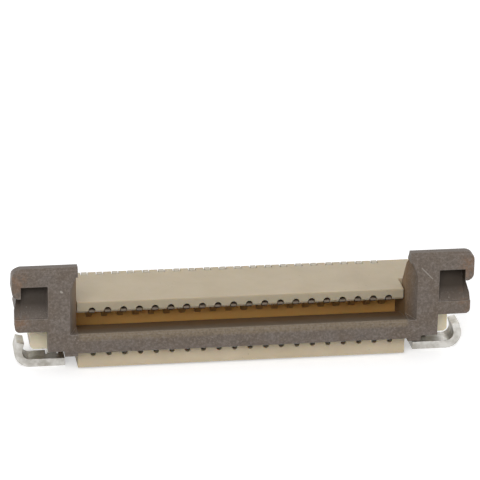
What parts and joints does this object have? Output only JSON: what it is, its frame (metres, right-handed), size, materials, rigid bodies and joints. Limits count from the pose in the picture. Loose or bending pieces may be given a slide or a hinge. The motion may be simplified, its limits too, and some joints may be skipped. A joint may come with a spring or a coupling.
{
  "type": "flat flexible cable connector",
  "caption": "Right-angle surface-mount connector for flat flexible cable, with a pull-out slider, stamped contacts and two solder nails.",
  "frame": {"origin": "on the circuit board's surface, in the middle of the connector's outline with the slider pulled out", "axes": "+X along the row of contacts, +Y the way the cable goes in, +Z away from the board"},
  "size_m": [0.0292, 0.0072, 0.0072],
  "materials": {
    "housing_nylon": "moulded natural nylon, slightly translucent",
    "slider_resin": "moulded grey-brown glass-filled resin",
    "contact_tin": "tin-plated stamped copper alloy",
    "nail_tin": "tin-plated strip"
  },
  "bodies": {
    "base": {"housing": "housing_nylon", "solder_nail_left": "nail_tin", "solder_nail_right": "nail_tin", "contact_01": "contact_tin", "contact_02": "contact_tin", "contact_03": "contact_tin", "contact_04": "contact_tin", "contact_05": "contact_tin", "contact_06": "contact_tin", "contact_07": "contact_tin", "contact_08": "contact_tin", "contact_09": "contact_tin", "contact_10": "contact_tin", "contact_11": "contact_tin", "contact_12": "contact_tin", "contact_13": "contact_tin", "contact_14": "contact_tin", "contact_15": "contact_tin", "contact_16": "contact_tin", "contact_17": "contact_tin", "contact_18": "contact_tin", "contact_19": "contact_tin", "contact_20": "contact_tin"},
    "slider": {"slider": "slider_resin"}
  },
  "joints": [
    {"name": "slider_travel", "type": "slide", "parent": "base", "child": "slider", "axis": [0, 1, 0], "range_m": [0, 0.0009]}
  ]
}
